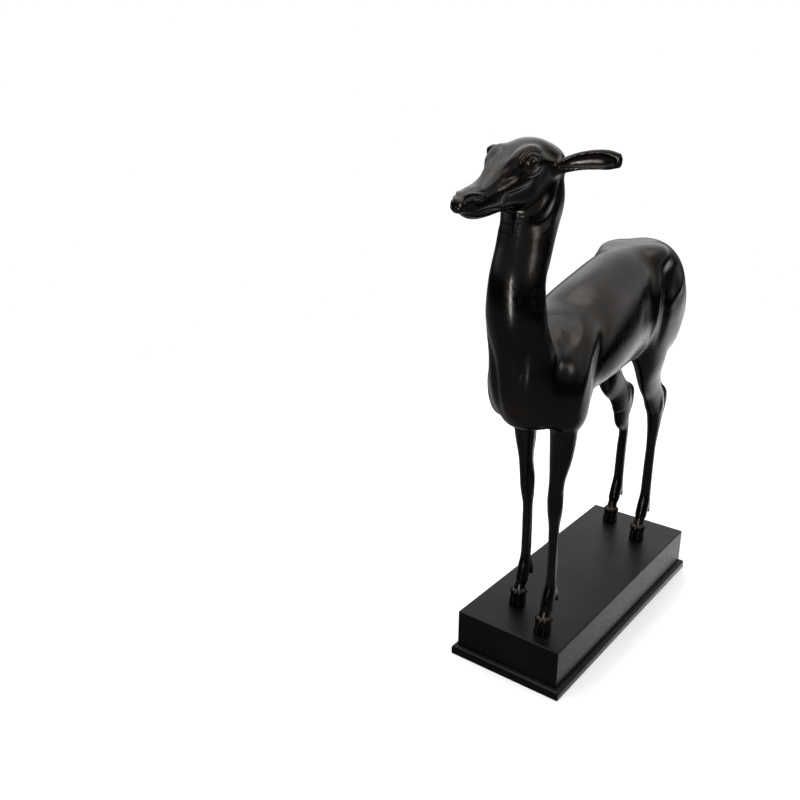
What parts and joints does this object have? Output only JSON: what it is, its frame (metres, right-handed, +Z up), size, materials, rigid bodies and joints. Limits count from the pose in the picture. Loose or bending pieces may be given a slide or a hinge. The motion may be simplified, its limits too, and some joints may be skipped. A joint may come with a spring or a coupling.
{
  "type": "standing doe sculpture on a plinth",
  "caption": "Patinated bronze doe standing with raised head turned to one side and ears spread, on a plain rectangular plinth with a projecting rim.",
  "frame": {"origin": "centre of the plinth's underside", "axes": "-Y the way the doe's body faces, +X the doe's left side, +Z up"},
  "size_m": [0.2872, 0.8495, 1.1101],
  "materials": {
    "deer_bronze": "patinated",
    "plinth_bronze": "patinated"
  },
  "bodies": {
    "root": {"deer": "deer_bronze", "plinth": "plinth_bronze"}
  },
  "joints": []
}
